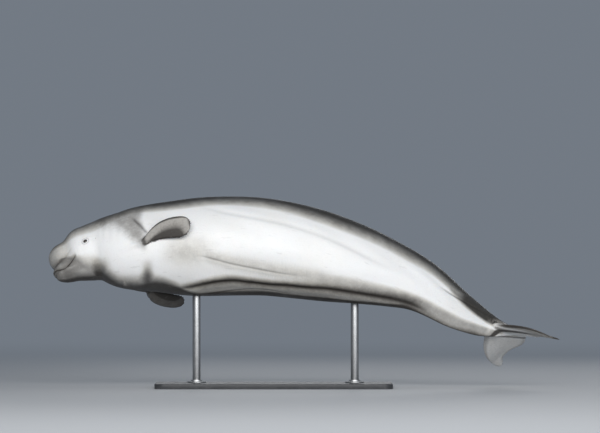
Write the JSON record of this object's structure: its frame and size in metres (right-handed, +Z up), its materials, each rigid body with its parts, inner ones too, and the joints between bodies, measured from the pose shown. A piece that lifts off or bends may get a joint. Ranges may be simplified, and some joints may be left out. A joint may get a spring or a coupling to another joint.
{
  "type": "beluga whale model",
  "caption": "Life-size still model of a white toothed whale, swimming with arched back and rolled belly, held by rods on a flat base.",
  "frame": {"origin": "on the floor, under the middle of the whole model's bounding box", "axes": "+Z up, the whale's tail towards +X and its face towards -X, its left side towards -Y"},
  "size_m": [4.09, 1.1394, 1.5331],
  "materials": {
    "skin": "smooth satin white skin, greyer along the back and in the folds",
    "fins": "smooth satin pale grey skin with darker edges",
    "eye": "wet, almost black brown",
    "stand_base": "satin charcoal paint",
    "stand_rod": "brushed stainless steel"
  },
  "bodies": {
    "root": {"melon": "skin", "upper_jaw": "skin", "lower_jaw": "skin", "head": "skin", "neck": "skin", "chest": "skin", "trunk_front": "skin", "trunk_rear": "skin", "loin": "skin", "tail_stock_front": "skin", "tail_stock_rear": "skin", "dorsal_ridge": "skin", "flipper_left": "fins", "flipper_right": "fins", "fluke_left": "fins", "fluke_right": "fins", "eye_left": "eye", "eye_right": "eye", "stand_base": "stand_base", "stand_foot_front": "stand_rod", "stand_foot_rear": "stand_rod", "stand_rod_front": "stand_rod", "stand_rod_rear": "stand_rod"}
  },
  "joints": []
}
